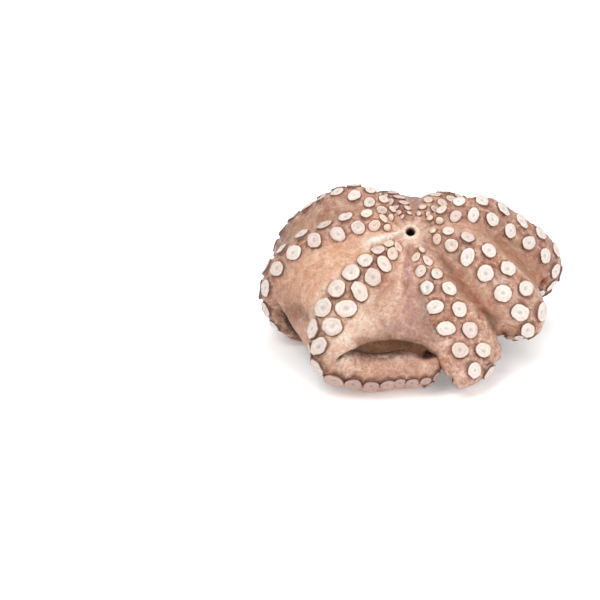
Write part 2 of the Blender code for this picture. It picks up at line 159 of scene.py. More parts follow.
# an arm's section; depths are over its half width
section = dict(
    power=2.2,  # 2 is an ellipse, more is squarer
    upper=radians(38),  # angles at which the web's two faces leave it
    lower=radians(-35),
    crowded=0.245,  # half width over the distance from the mouth, where the arms crowd
    least=30,  # crowding makes the half width no smaller than this, from length open on
    open=80,
    deep=0.62,  # depth of the oral side, and of both near the crown
    root=0.5,  # depth of the other side at the lips
    most=14.5,  # oral depth in millimetres
    bendAbove=0.46,  # most depths over the radius of a bend
    bendBelow=0.3,
    taper=(1, 1, 0.86, 0.52, 0.24, 0.14),  # half width from the full part to the tip
)
# the two rows of suckers: sizes over the largest at these lengths
suckerRows = dict(
    at=(0, 10, 30, 60, 100, 140, 180, 230, 330, 400),
    size=(0.3, 0.42, 0.7, 0.9, 0.98, 1, 0.98, 0.76, 0.42, 0.15),
    first=15.0, end=6,  # distances from the mouth and from the tip
    least=2.5,  # the smallest sucker
    slim=15, slimFrom=150,  # a half width under which they shrink, from this length on
    closer=0.84, closerFrom=(190, 240),  # spacing where they crowd, and where that starts
    aside=0.62, laidAside=0.53,  # place to the side over the size
)


def lipPoint(heading):
    x, y = crown["lip"] * cos(heading), crown["lip"] * sin(heading)
    return x, y * cos(crown["tilt"]), crown["high"] + y * sin(crown["tilt"])


def mouthDistance(points):
    return np.linalg.norm(points - [0, 0, crown["high"]], axis=1)


# points of the line between an arm's two rows of suckers, from the lips to the tip
def curledRoute(a):
    points = [(r, a[h], r / a["reach"], 0)
              for r, h in zip(armRule["stations"], ("near", "middle", "far"))]
    points.append((a["reach"], a["rim"], 1, 0))
    for turn in (radians(-45), radians(-90)):
        points.append((a["foot"] + (a["reach"] - a["foot"]) * cos(turn),
                       a["rim"] + (a["rim"] - a["under"]) * sin(turn), 1, 0))
    for share in (0.3, 0.55, 0.8, 1.0):
        f = share * a["tail"]
        settled = smooth(0, 1, f)
        points.append((a["foot"] + (armRule["tip"] - a["foot"]) * sin(f * pi / 2),
                       a["under"] * (1 - settled) + (groundGap + 4 * f * f) * settled, 1, f * f))
    route = [lipPoint(radians(a["heading"]))]
    for distance, height, out, back in points:
        heading = radians(a["heading"] + a["swing"] * out + a["sweep"] * back)
        route.append((distance * cos(heading), distance * sin(heading), height))
    return np.array(route)


def laidRoute():
    a = laidForm
    route = [lipPoint(radians(a["leg"][0][1]))]
    for distance, heading, height in a["leg"]:
        route.append((distance * cos(radians(heading)), distance * sin(radians(heading)), height))
    route.extend(a["knee"])
    route.append((a["knee"][-1][0] / 2, a["front"], a["high"]))
    for i in range(6):
        turn = radians(a["turn"] * i / 5 + a["start"])
        route.append((a["x"] + a["radius"] * cos(turn), a["y"] + a["radius"] * sin(turn),
                      a["high"] + a["rise"] * (i + 1) / 6))
    return np.array(route)


# a line with a frame and a section: oral normal, side, half width, depths each way
class Arm:

    def __init__(self, name):
        self.name = name
        self.sizes = arms[name]
        self.setLine(laidRoute() if name == "laid" else curledRoute(self.sizes))
        self.setFrame()
        self.setSection()

    def setLine(self, points):
        knots = lengthsOf(points)
        fine = spline(knots, points, np.linspace(0, knots[-1], armRule["drawn"]))
        length = lengthsOf(fine)
        self.length = length[-1]
        s = self.s = np.linspace(0, self.length, armRule["kept"])
        line = np.stack([np.interp(s, length, fine[:, i]) for i in range(3)], 1)
        reach = round(armRule["ease"] / s[1])
        for _ in range(2):
            padded = np.concatenate([2 * line[0] - line[reach:0:-1], line,
                                     2 * line[-1] - line[-2:-reach - 2:-1]])
            sums = np.cumsum(np.concatenate([np.zeros((1, 3)), padded]), 0)
            line = (sums[2 * reach + 1:] - sums[:-2 * reach - 1]) / (2 * reach + 1)
        self.line = line

    # the oral normal turns with the line as little as it can, and then by the arm's own roll
    def setFrame(self):
        a, s, laid = self.sizes, self.s, laidForm
        forward = self.forward = unit(np.gradient(self.line, s, axis=0))
        normal = np.zeros_like(forward)
        last = crownAxis
        for i, t in enumerate(forward):
            last = normal[i] = unit(last - (last @ t) * t)
        turn = radians(a["roll"]) * smooth(*a["rolls"], s)
        if self.name == "laid":
            turn = turn + laid["twist"] * np.exp(-((s - laid["twistAt"]) / laid["twistSpan"]) ** 2)
        side = np.cross(normal, forward)
        self.normal = normal * np.cos(turn)[:, None] + side * np.sin(turn)[:, None]
        self.side = np.cross(self.normal, forward)

    def setSection(self):
        a, s, form = self.sizes, self.s, section
        curve = np.linalg.norm(np.gradient(self.forward, s, axis=0), axis=1)
        bend = 1 / np.maximum(self.even(curve, 15), 1e-4)
        away = np.linalg.norm(self.line[:, :2], axis=1)
        near = form["crowded"] * away * (1 + a["splay"] * smooth(70, 120, s))
        near = np.where(s > form["open"], np.maximum(near, form["least"]), near)
        full = a["full"]
        places = [0, full, 0.65 * full + 0.35, 0.3 * full + 0.7, 0.975, 1]
        taper = np.interp(s / self.length, places, form["taper"])
        width = np.minimum((near ** -3 + a["wide"] ** -3.0) ** (-1 / 3), a["wide"] * taper)
        self.width = self.even(width, 9)
        deep = np.interp(s, [0, 30, 70, 115, 220], [form["root"], form["deep"], form["deep"],
                                                    min(form["deep"], a["deep"]), a["deep"]])
        most = np.minimum(form["most"], form["bendAbove"] * bend)
        self.above = self.even(np.minimum(form["deep"] * self.width, most), 12)
        self.below = self.even(np.minimum(deep * self.width, form["bendBelow"] * bend), 12)
        self.flare = a["flare"] * smooth(60, 110, s) * (1 - smooth(140, 170, s))
        self.lap = a["lap"] * smooth(120, 160, s) * (1 - smooth(190, 215, s))

    def even(self, values, reach):
        padded = np.pad(values, reach, mode="edge")
        return np.convolve(padded, np.ones(2 * reach + 1) / (2 * reach + 1), "valid")

    # the line, the frame and the section at length s
    def at(self, s):
        def read(values):
            return np.stack([np.interp(s, self.s, values[:, i]) for i in range(3)], -1)
        return SimpleNamespace(
            line=read(self.line), forward=unit(read(self.forward)),
            normal=unit(read(self.normal)), side=unit(read(self.side)),
            width=np.interp(s, self.s, self.width), above=np.interp(s, self.s, self.above),
            below=np.interp(s, self.s, self.below))

    # how much wider the skin is at length s, on the next arm's side or the last's
    def widening(self, s, following):
        return 1 + np.where(following, np.interp(s, self.s, self.flare),
                            np.interp(s, self.s, self.lap))

    # points at length s and section angle: 0 at the next arm's side, 90 degrees oral
    def skin(self, s, angle):
        s, angle = np.broadcast_arrays(np.asarray(s, float), np.asarray(angle, float))
        here = self.at(s)
        c, q = np.cos(angle), np.sin(angle)
        power = 2 / section["power"]
        x = here.width * np.sign(c) * np.abs(c) ** power
        x = x * self.widening(s, c > 0)
        y = np.where(q > 0, here.above, here.below) * np.sign(q) * np.abs(q) ** power
        return here.line + here.side * x[..., None] + here.normal * (y - here.above)[..., None]

    # direction in which the web leaves the arm on its next or last side
    def leaving(self, s, way):
        here = self.at(s)
        out = way * webForm["spread"] * here.width * sin(section["upper"])
        down = here.above * cos(section["upper"])
        return unit(here.side * out[..., None] - here.normal * down[..., None])

    # two staggered rows: centre, outward direction, size and length along, of each
    def suckers(self):
        rule = suckerRows
        s, way, found = rule["first"], 1, []
        while s < self.length - rule["end"]:
            size = self.sizes["cup"] * np.interp(s, rule["at"], rule["size"])
            if s > rule["slimFrom"]:
                size *= min(1.0, np.interp(s, self.s, self.width) / rule["slim"])
            if size < rule["least"]:
                break
            found.append((s, way, size))
            closer = np.interp(s, rule["closerFrom"], [1, rule["closer"]])
            s += 0.5 * self.sizes["pitch"] * size * closer
            way = -way
        s, way, size = np.array(found).T
        width = np.interp(s, self.s, self.width)
        aside = rule["laidAside" if self.name == "laid" else "aside"]
        x = np.minimum(aside * size / width, rule["aside"]) / self.widening(s, way > 0)
        angle = np.arccos(x ** (section["power"] / 2))
        angle = np.where(way > 0, angle, pi - angle)
        across = self.skin(s, angle - 0.02) - self.skin(s, angle + 0.02)
        ahead = self.skin(s + 0.5, angle) - self.skin(s - 0.5, angle)
        outward = unit(np.cross(ahead, across))
        here = self.at(s)
        away = here.side * (way * x)[:, None] + here.normal
        outward *= np.sign((outward * away).sum(-1, keepdims=True))
        return self.skin(s, angle), outward, size, s


# points and faces of one closed surface, and where on the animal each point is
class Skin:
    places = ("arm", "along", "oral", "web", "across", "share")

    def __init__(self):
        self.points = np.zeros((0, 3))
        self.marks = np.zeros((0, len(self.places)))
        self.faces = []

    def add(self, points, **where):
        points = np.asarray(points, float)
        shape = points.shape[:-1]
        first = len(self.points)
        marks = np.stack([np.broadcast_to(np.asarray(where.get(place, -1), float), shape)
                          for place in self.places], -1)
        self.points = np.concatenate([self.points, points.reshape(-1, 3)])
        self.marks = np.concatenate([self.marks, marks.reshape(-1, len(self.places))])
        return np.arange(first, len(self.points)).reshape(shape)

    def read(self, place):
        return self.marks[:, self.places.index(place)]

    def sheet(self, grid, turned=False):
        faces = np.stack([grid[:-1, :-1], grid[1:, :-1], grid[1:, 1:], grid[:-1, 1:]], -1)
        faces = faces.reshape(-1, 4)
        self.faces.extend((faces[:, ::-1] if turned else faces).tolist())

    def fan(self, ring, point):
        for a, b in zip(ring[:-1], ring[1:]):
            self.faces.append([int(b), int(a), int(point)])


# web from each arm to the next: how deep it sags, how far its edge draws back, how it swells
webs = {
    "rightFront": (0.85, 0.08, 0), "right": (0.35, 0.10, 0), "rightBack": (1.5, 0.12, 0),
    "back": (0.9, 0.12, 0), "leftBack": (0.7, 0.08, 0), "left": (0.35, 0.04, 4),
    "laid": (0.3, 0.25, 9), "front": (0.9, -0.12, 0),
}
# how flat the webs leave the arms, and their thickness in the middle and at the arms
webForm = dict(spread=1.5, thin=5.0, thick=8.0)


# upper and lower points of the web from arm a to arm b
def webGrid(a, b, t, share):
    sag, back, swell = webs[a.name]
    share = share[:, None] * (1 - back * 4 * t * (1 - t))[None, :]
    sa, sb = a.sizes["web"] * share, b.sizes["web"] * share
    high, low = section["upper"], section["lower"]
    start, end = a.skin(sa, high), b.skin(sb, pi - high)
    gap = sag * np.linalg.norm(end - start, axis=-1, keepdims=True)
    u = t[None, :, None]
    upper = ((2 * u ** 3 - 3 * u ** 2 + 1) * start + (3 * u ** 2 - 2 * u ** 3) * end
             + (u ** 3 - 2 * u ** 2 + u) * gap * a.leaving(sa, 1)
             - (u ** 3 - u ** 2) * gap * b.leaving(sb, -1))
    normal = unit(a.at(sa).normal * (1 - u) + b.at(sb).normal * u)
    upper = upper + normal * (swell * smooth(0.15, 0.7, share) * np.sin(pi * t))[..., None]
    face = unit(np.cross(np.gradient(upper, axis=0), np.gradient(upper, axis=1)))
    face *= np.sign((face * normal).sum(-1, keepdims=True))
    nearA, nearB = (1 - u) ** 4, u ** 4
    thin, thick = webForm["thin"], webForm["thick"]
    thick = thin + (thick - thin) * (2 * u - 1) ** 2
    lower = (upper + nearA * (a.skin(sa, low) - start)
             + nearB * (b.skin(sb, pi - low) - end) - (1 - nearA - nearB) * face * thick)
    return upper, lower


# rings down into the mouth: size over the lips' ring, and depth
mouthSteps = ((0.86, -0.5), (0.74, -0.9), (0.62, -0.5), (0.52, 0.4), (0.44, 1.6), (0.38, 3.4),
              (0.34, 6.0), (0.3, 9.5))
# the mantle under the crown: its middle, its depth over its width, the share of the webs at
# which it starts, and each ring's height, radius and roundness
mantle = dict(middle=(-8.0, 8.0), slim=0.94, join=45 / 140, rings=(
    (97, 42, 0.35), (86, 47, 0.75), (74, 48, 1), (60, 54, 1), (42, 59, 1), (22, 60, 1),
    (5, 56, 1), (-6, 46, 1), (-6, 20, 1)))
# fineness of the skin: pieces across an arm, a web, its edge and the underside, rows, and steps
# of the free arms in millimetres
fineness = dict(crest=22, between=28, edge=6, under=12, rows=88, step=2.2)


# strips of points round the edge of the web from arm a to arm b
def webEdge(body, web, a, b, upper, lower, t, flank):
    high, low = upper[-1], lower[-1]
    outward = unit(upper[-1] - upper[-2])
    half = np.linalg.norm(high - low, axis=1, keepdims=True) / 2
    nearA, nearB = ((1 - t) ** 4)[:, None], (t ** 4)[:, None]
    strips = []
    for k, angle in enumerate(flank):
        f = (k + 1) / (len(flank) + 1)
        middle = high * (1 - f) + low * f
        middle = middle + outward * half * sin(pi * f) * np.sin(pi * t)[:, None]
        middle = (middle * (1 - nearA - nearB) + nearA * a.skin(a.sizes["web"], angle)
                  + nearB * b.skin(b.sizes["web"], pi - angle))
        strips.append(body.add(middle, web=web, across=t, share=1, oral=1 - 2 * f))
    return strips


# an arm past the webs, from the ring of points where it leaves them
def freeArm(body, arm, i, ring, angles, step):
    start = arm.sizes["web"]
    pieces = max(3, round((arm.length - start) / step))
    s = np.linspace(start, arm.length, pieces + 1)[1:, None]
    tube = body.add(arm.skin(s, angles[None]), arm=i, along=s, oral=np.sin(angles)[None])
    tube = closed(np.concatenate([ring[None], tube]))
    body.sheet(tube)
    end = arm.at(arm.length)
    tip = end.line - end.normal * end.above + end.forward * end.width * 0.9
    body.fan(tube[-1], body.add(tip, arm=i, along=arm.length, oral=0))


# the first row of the arms and of the webs between them, as one ring
def rootRing(armGrids, webGrids):
    return np.concatenate([row for arm, web in zip(armGrids, webGrids)
                           for row in (arm[0][:-1], web[0][:-1])])


# from the crown's ring of points over the lips and down into the mouth
def addMouth(body, ring):
    centre = body.points[ring].mean(0)
    offset = body.points[ring] - centre
    rise = (offset @ crownAxis)[:, None] * crownAxis
    flat = offset - rise
    flat = unit(flat) * (0.3 * np.linalg.norm(flat, axis=1, keepdims=True) + 0.7 * crown["lip"])
    rings = [ring]
    for scale, depth in mouthSteps:
        points = centre + flat * scale + rise * max(0, scale - 0.4) - crownAxis * depth
        rings.append(body.add(points, share=scale))
    rings = closed(np.stack(rings))
    body.sheet(rings, True)
    body.fan(rings[-1][::-1], body.add(centre - crownAxis * (depth + 1.5), share=0))


# from the underside's ring of points down round the mantle, each point under its own arm
def addMantle(body, ring, bottoms):
    inner = body.points[ring]
    middles = np.array([body.points[grid[0]][:, :2].mean(0) for grid in bottoms])
    headings = np.unwrap(np.arctan2(middles[:, 1], middles[:, 0]))
    places = np.arange(8) * (len(ring) // 8) + (bottoms[0].shape[1] - 1) / 2
    turn = np.interp(np.arange(len(ring)),
                     np.concatenate([[places[-1] - len(ring)], places, [places[0] + len(ring)]]),
                     np.concatenate([[headings[-1] - 2 * pi], headings, [headings[0] + 2 * pi]]))
    x, y = mantle["middle"]
    rings = [ring]
    for height, radius, true in mantle["rings"]:
        circle = np.stack([x * true + radius * np.cos(turn),
                           y * true + mantle["slim"] * radius * np.sin(turn),
                           np.full_like(turn, height)], 1)
        drawn = inner.copy()
        drawn[:, 2] += (height - inner[:, 2]) * true
        rings.append(body.add(drawn * (1 - true) + circle * true, share=2))
    rings = closed(np.stack(rings))
    body.sheet(rings)
    body.fan(rings[-1], body.add([x, y, height], share=2))


# the whole skin as one closed surface, and its arms
def octopusSkin(crest, between, edge, under, rows, step):
    body = Skin()
    allArms = [Arm(name) for name in arms]
    share = np.linspace(0, 1, rows + 1)
    first = int(np.ceil(mantle["join"] * rows))
    start, end = section["upper"], section["lower"]
    oral = np.linspace(pi - start, start, crest + 1)
    aboral = np.linspace(pi - end, 2 * pi + end, under + 1)
    flank = np.linspace(start, end, edge + 1)[1:-1]
    t = np.linspace(0, 1, between + 1)
    lengths = [(arm.sizes["web"] * share)[:, None] for arm in allArms]
    tops = [body.add(arm.skin(s, oral[None]), arm=i, along=s, oral=np.sin(oral)[None])
            for i, (arm, s) in enumerate(zip(allArms, lengths))]
    bottoms = [body.add(arm.skin(s[first:], aboral[None]), arm=i, along=s[first:],
                        oral=np.sin(aboral)[None])
               for i, (arm, s) in enumerate(zip(allArms, lengths))]
    upperWebs, lowerWebs, flanks = [], [], [[None, None] for _ in allArms]
    for i, arm in enumerate(allArms):
        j = (i + 1) % 8
        upper, lower = webGrid(arm, allArms[j], t, share)
        place = dict(web=i, across=t[None, 1:-1])
        upperIds = body.add(upper[:, 1:-1], oral=1, share=share[:, None], **place)
        lowerIds = body.add(lower[first:, 1:-1], oral=-1, share=share[first:, None], **place)
        upperWebs.append(np.concatenate([tops[i][:, -1:], upperIds, tops[j][:, :1]], 1))
        lowerWebs.append(np.concatenate([bottoms[i][:, -1:], lowerIds, bottoms[j][:, :1]], 1))
        strips = webEdge(body, i, arm, allArms[j], upper, lower, t, flank)
        strips = np.stack([upperWebs[i][-1], *strips, lowerWebs[i][-1]])
        body.sheet(strips)
        flanks[i][1], flanks[j][0] = strips[:, 0], strips[:, -1]
    angles = np.concatenate([oral, flank, (aboral - 2 * pi)[::-1], (pi - flank)[::-1]])
    for i, arm in enumerate(allArms):
        for grid, turned in ((tops, False), (upperWebs, False), (bottoms, True),
                             (lowerWebs, True)):
            body.sheet(grid[i], turned)
        last, following = flanks[i]
        ring = np.concatenate([tops[i][-1], following[1:-1], bottoms[i][-1][::-1],
                               last[1:-1][::-1]])
        freeArm(body, arm, i, ring, angles, step)
    addMouth(body, rootRing(tops, upperWebs))
    addMantle(body, rootRing(bottoms, lowerWebs), bottoms)
    return body, allArms


# tones of the raw animal, as a screen shows them
tones = dict(
    milk="FFF8EC",  # the loose fold beside the mouth
    cream="F6E8D8",  # lips
    pale="ECD2BC",  # the leg of the laid arm
    peach="E0B599",  # lit web
    fawn="D2AE9A",  # most arms
    tan="C49E88",  # web away from the light
    rosy="B88F83",  # the stripe down the front web
    dusk="A68275",  # low on the front web, above the gap
    ochre="B28568",  # golden patches
    russet="A55B40",  # thin red line in a fold
    umber="885B43",  # pockets: painted shade in pockets and folds
    dark="5A3018",  # painted shade at the deep ends of folds
    outer="755C50",  # outer skin, under the arms; also painted shade along the ground under the laid and front arms
    # throat: painted shade deep in the mouth
    throat="120906",
    inner="FFC898",  # painted light: a lit tone for the underside that shows through the gap
    rimShade="C4AA95",  # brownish ring round each sucker, over the skin's own tone: partly real brown, partly painted shade at the foot
)
# how much darker the skin and the suckers are in themselves than they look in the bright light
dimmed = dict(skin=0.87, cups=0.76)
# skin between the suckers of each arm, at these lengths from the mouth
toneStops = (15, 60, 120, 190, 300)
armTones = {
    "rightFront": ("fawn", "fawn", "fawn", "fawn", "umber"),
    "right": ("tan", "tan", "tan", "rosy", "umber"),
    "rightBack": ("fawn", "tan", "tan", "umber", "umber"),
    "back": ("tan", "tan", "rosy", "umber", "umber"),
    "leftBack": ("fawn", "tan", "tan", "rosy", "umber"),
    "left": ("peach", "fawn", "fawn", "tan", "umber"),
    "laid": ("fawn", "pale", "pale", "fawn", "fawn"),
    "front": ("fawn", "fawn", "fawn", "fawn", "tan"),
}
# the web from each arm to the next, from the crown to its edge
shareStops = (0.15, 0.45, 0.75, 1.0)
webTones = {
    "rightFront": ("fawn", "tan", "ochre", "ochre"),
    "right": ("tan", "tan", "rosy", "umber"),
    "rightBack": ("tan", "rosy", "umber", "umber"),
    "back": ("rosy", "umber", "umber", "umber"),
    "leftBack": ("tan", "tan", "tan", "umber"),
    "left": ("peach", "peach", "peach", "tan"),
    "laid": ("fawn", "fawn", "fawn", "tan"),
    "front": ("tan", "tan", "tan", "umber"),
}
# strokes on the skin: tone, strength, how far it stands up, half width at its start
# and its end, and its path
strokes = {
    "looseFold": ("milk", 1.0, 5.5, (1.6, 10),
        ((-9, 0, 124), (-20, -9, 123), (-30, -15, 122), (-38, -18, 121))),
    "rosyStripe": ("rosy", 0.95, -0.9, (3.5, 12),
        ((0, -13, 116), (-4, -43, 100), (-2, -71, 82), (2, -90, 58))),
    "paleLine": ("pale", 0.6, 0.9, (1.8, 2.4),
        ((-5, -11, 118), (-9, -30, 109), (-13, -50, 98), (-15, -69, 86))),
    "besideRow": ("outer", 0.48, 0, (3, 6), ((7, -50, 93), (10, -71, 76), (16, -81, 60))),
    "golden": ("ochre", 0.45, 0, (4, 7), ((-27, -48, 102), (-34, -64, 92), (-37, -80, 81))),
    "paleLeg": ("cream", 0.6, 0, (12, 13), ((-46, -71, 87), (-50, -88, 76), (-37, -92, 71))),
    "paleKnee": ("cream", 0.95, 0, (12, 8), ((-75, -102, 61), (-68, -107, 50), (-64, -110, 43))),
    "valleyShade": ("umber", 0.6, -1.2, (3.5, 5),
        ((28, -26, 110), (37, -36, 99), (48, -45, 88), (58, -51, 77), (67, -60, 68))),
    "redLine": ("russet", 0.65, 0, (1.6, 2.4),
        ((47, -41, 93), (56, -46, 84), (64, -51, 75), (72, -58, 66))),
    # painted shade at the deep end of the valley between the front and right-front arms
    "valleyEnd": ("dark", 0.8, 0, (3.5, 7), ((70, -57, 68), (75, -60, 61), (79, -61, 55))),
    # a lit tone over the low flank of the right-front arm: painted light where it is in shade
    "rightFoot": ("peach", 0.85, 0, (6, 10),
        ((88, -60, 52), (95, -58, 46), (104, -55, 42), (114, -56, 40))),
    "rightPocket": ("ochre", 0.75, 0, (6, 8), ((96, 14, 108), (108, 16, 94), (121, 14, 77))),
    "rightSeam": ("ochre", 0.6, 0, (3, 4.5),
        ((104, 2, 94), (116, 5, 82), (126, 11, 69), (131, 20, 58))),
    # painted light: lightens the shaded end of the pocket beside the right arm
    "pocketEnd": ("peach", 0.7, 0, (6, 8), ((130, 18, 64), (145, 35, 45))),
    "redSpot": ("russet", 0.8, 0, (4, 4), ((135, 25, 61), (140, 31, 55))),
    # painted shade in the fold behind the mouth
    "backPocket": ("umber", 0.9, 0, (6, 12),
        ((-8, 33, 130), (-16, 49, 131), (-24, 68, 131), (-30, 86, 129))),
    # painted light on the underside in the middle of the front gap, where it is in shade
    "gapMiddle": ("inner", 0.95, 0, (15, 15), ((-30, -44, 22), (-12, -48, 23), (4, -47, 23))),
    # painted shade in the pocket low on the left
    "leftPocket": ("umber", 0.7, -1, (8, 10),
        ((-104, -60, 63), (-110, -48, 64), (-118, -41, 56))),
    "creamLeg": ("cream", 0.8, 0, (12, 13), ((-66, -74, 86), (-78, -90, 71), (-70, -100, 63))),
    # painted shade along the front web's edge, where it curls in above the gap
    "webEdge": ("umber", 0.75, 0, (4.5, 4.5),
        ((-52, -104, 60), (-34, -98, 60), (-16, -93, 57), (2, -90, 55), (20, -87, 50))),
    "webLow": ("dusk", 0.85, 0, (8, 8), ((-28, -95, 69), (-8, -91, 67), (14, -86, 62))),
    "tubeLeft": ("tan", 0.6, 0, (9, 9), ((-56, -110, 40), (-40, -110, 39))),
    "tubeGold": ("ochre", 0.3, 0, (9, 9), ((-40, -112, 32), (-10, -112, 32), (15, -108, 32))),
    "kneeRise": ("tan", 0.3, 2.2, (7, 7), ((-63, -101, 45), (-52, -97, 45))),
    # painted shade along the ground under the laid arm's run
    "tubeLow": ("outer", 0.9, 0, (9, 9),
        ((-64, -120, 9), (-30, -124, 4), (0, -124, 4), (25, -118, 5), (38, -104, 7))),
    # painted shade at the front arm's foot, along the ground
    "frontLow": ("outer", 0.7, 0, (7, 7), ((44, -100, 4), (60, -101, 3), (80, -92, 6))),
    "tubeShine": ("cream", 0.7, 0.4, (1.6, 1.4),
        ((-40, -102, 44), (-27, -101, 43), (-14, -102, 43))),
}


# tones between those named at the stops
def toneAt(stops, names, at):
    values = np.array([shown(tones[name]) for name in names])
    return np.stack([np.interp(at, stops, values[:, i]) for i in range(3)], -1)


def blend(first, second, share):
    return first + (second - first) * share[..., None]


# from 1 on a path of this half width at its start and end, to 0 well away from it
def nearness(points, wide, path):
    path = np.array(path, float)
    first, last = wide
    found = np.zeros(len(points))
    for i in range(len(path) - 1):
        run = path[i + 1] - path[i]
        place = np.clip((points - path[i]) @ run / (run @ run), 0, 1)
        away = np.linalg.norm(points - path[i] - place[:, None] * run, axis=1)
        wide = first + (last - first) * (i + place) / (len(path) - 1)
        found = np.maximum(found, np.exp(-(away / wide) ** 2))
    return found


# the tones of the arms and of the webs between them
def plainTones(body, arm, web, length, across, share):
    tone = np.zeros_like(body.points) + shown(tones["ochre"])
    for i, name in enumerate(armNames):
        chosen = arm == i
        tone[chosen] = toneAt(toneStops, armTones[name], length[chosen])
        chosen = web == i
        after = armNames[(i + 1) % 8]
        down = share[chosen]
        first = toneAt(toneStops, armTones[name], down * arms[name]["web"])
        second = toneAt(toneStops, armTones[after], down * arms[after]["web"])
        beside = blend(first, second, smooth(0.3, 0.7, across[chosen]))
        middle = smooth(0, 0.28, across[chosen]) * (1 - smooth(0.72, 1, across[chosen]))
        tone[chosen] = blend(beside, toneAt(shareStops, webTones[name], down), middle)
    return tone


# the skin's tone, how far each point lifts, and how much of each pattern shows
def paint(body):
    arm, web, length, oral, across, share = [body.read(place) for place in (
        "arm", "web", "along", "oral", "across", "share")]
    tone = plainTones(body, arm, web, length, across, share)
    # browner outside, less so under the crown; rosier between the rows of suckers; and cream at
    # the lips
    skin = (arm >= 0) | (web >= 0)
    outer = np.where(skin, smooth(0.12, -0.45, oral), 0)
    hidden = np.linalg.norm(body.points[:, :2], axis=1) < 92
    tone = blend(tone, shown(tones["outer"]), outer * np.where(hidden, 0.45, 0.9))
    between = smooth(0.9, 0.985, oral) * (arm >= 0) * smooth(25, 50, length)
    tone = blend(tone, shown(tones["rosy"]), 0.55 * between * (1 - smooth(150, 185, length)))
    centre = np.exp(-(mouthDistance(body.points) / 15) ** 4)
    tone = blend(tone, shown(tones["cream"]), 0.55 * centre)
    # inside the mouth: painted shade, from cream at the lips through umber to near black deep down
    mouth = ~skin & (share < 1.5)
    tone[mouth] = toneAt((0.36, 0.46, 0.58), ("throat", "umber", "cream"), share[mouth])
    lift = np.zeros(len(tone))
    # then the strokes, in turn
    for name, weight, high, wide, path in strokes.values():
        near = nearness(body.points, wide, path)
        tone = blend(tone, shown(tones[name]), weight * near)
        lift += high * near
    # the free part of the laid arm has wrinkles and no streaks
    laid = arm == armNames.index("laid")
    free = np.where(laid, smooth(150, 185, length), 0)
    golden = nearness(body.points, (12, 16), strokes["golden"][-1])
    net = np.clip(0.2 + 0.6 * outer + 0.5 * golden, 0, 1)
    streak = np.where(web >= 0, np.sin(pi * np.clip(across, 0, 1)) ** 0.5, 0.25 * (arm >= 0))
    streak = streak * (1 - free) * (1 - 0.7 * outer)
    low = smooth(0.9, 0.1, oral)
    # dark tones are mottled less
    mottle = np.where(arm >= 0, 0.75, 0.45) * (1 - 0.8 * centre)
    mottle = mottle * (0.3 + 0.7 * smooth(0.4, 0.62, tone.mean(1))) * (1 - 0.35 * free)
    return tone, dict(net=net, streak=streak, wrinkle=free * low, lift=lift, free=free,
                      spotted=0.45 + 0.55 * outer, mottle=mottle)


# suckers in the scene: how far the skin rises under one, over its size, growth over the sizes
# in the solid, the size from which the large shape is used, and the smallest on the loose fold
suckerForm = dict(seat=0.06, growth=dict(laid=1.04, front=0.95), large=9, onFold=12)


# how far each sucker lifts the skin round it, and how near each point is to a sucker's foot; flat
# is the distance from a sucker's own axis over its size
def mounds(body, normals, centres, outwards, sizes):
    tree = treeOf(centres)
    lift, near = np.zeros(len(body.points)), np.zeros(len(body.points))
    for i, point in enumerate(body.points):
        for _, k, _ in tree.find_n(point, 3):
            if normals[i] @ outwards[k] < 0.2:
                continue
            offset = point - centres[k]
            flat = np.linalg.norm(offset - outwards[k] * (offset @ outwards[k])) / sizes[k]
            raised = suckerForm["seat"] * sizes[k] * (1 - smooth(0.42, 0.8, flat))
            lift[i] = max(lift[i], raised)
            near[i] = max(near[i], 1 - smooth(0.52, 0.72, flat))
    return lift, near


# presses the skin flat where a sucker sits on it, so that none shows through
def pressed(points, normals, centres, outwards, sizes):
    tree = treeOf(points)
    moved = points.copy()
    for centre, outward, size in zip(centres, outwards, sizes):
        found = np.array([i for _, i, _ in tree.find_range(centre, 0.62 * size)], int)
        found = found[normals[found] @ outward > 0.2]
        offset = points[found] - centre
        high = offset @ outward
        flat = np.linalg.norm(offset - outward * high[:, None], axis=1) / size
        down = np.maximum(high + 0.05 * size, 0) * (1 - smooth(0.44, 0.56, flat))
        moved[found] -= outward * down[:, None]
    return moved


# even noise between about -1 and 1, with features of this size in millimetres
def waves(points, size, seed):
    shift = Vector((seed * 7.3, seed * 3.1, seed * 11.7))
    return np.array([noise.noise(Vector(p) / size + shift) for p in points])


# a new object in the scene, at the origin
def linked(name, data):
    piece = bpy.data.objects.new(name, data)
    bpy.context.scene.collection.objects.link(piece)
    return piece


# a smooth mesh object from points in millimetres round the mouth's place
def meshPiece(name, points, faces):
    mesh = bpy.data.meshes.new(name)
    mesh.from_pydata(((np.asarray(points) + [*crown["plan"], 0]) / 1000).tolist(), [], faces)
    mesh.polygons.foreach_set("use_smooth", [True] * len(mesh.polygons))
    mesh.update()
    return linked(name, mesh)


# stores named values on the points of a mesh
def attach(mesh, kind, **values):
    field = {"FLOAT_COLOR": "color", "FLOAT_VECTOR": "vector", "FLOAT": "value"}[kind]
    for name, numbers in values.items():
        made = mesh.attributes.new(name, kind, "POINT")
        made.data.foreach_set(field, np.asarray(numbers, np.float32).ravel())


def normalsOf(mesh):
    found = np.zeros(len(mesh.vertices) * 3, np.float32)
    mesh.vertex_normals.foreach_get("vector", found)
    return found.reshape(-1, 3).astype(float)


# gives a node's inputs, by name, identifier or place, a value, or a link from a socket or from
# a node's first output in use
def feed(node, inputs):
    for key, value in dict(inputs).items():
        if isinstance(key, int):
            socket = node.inputs[key]
        else:
            socket = next(s for s in node.inputs if key in (s.identifier, s.name) and s.enabled)
        if isinstance(value, bpy.types.Node):
            value = next(s for s in value.outputs if s.enabled)
        if isinstance(value, bpy.types.NodeSocket):
            node.id_data.links.new(value, socket)
        else:
            socket.default_value = value


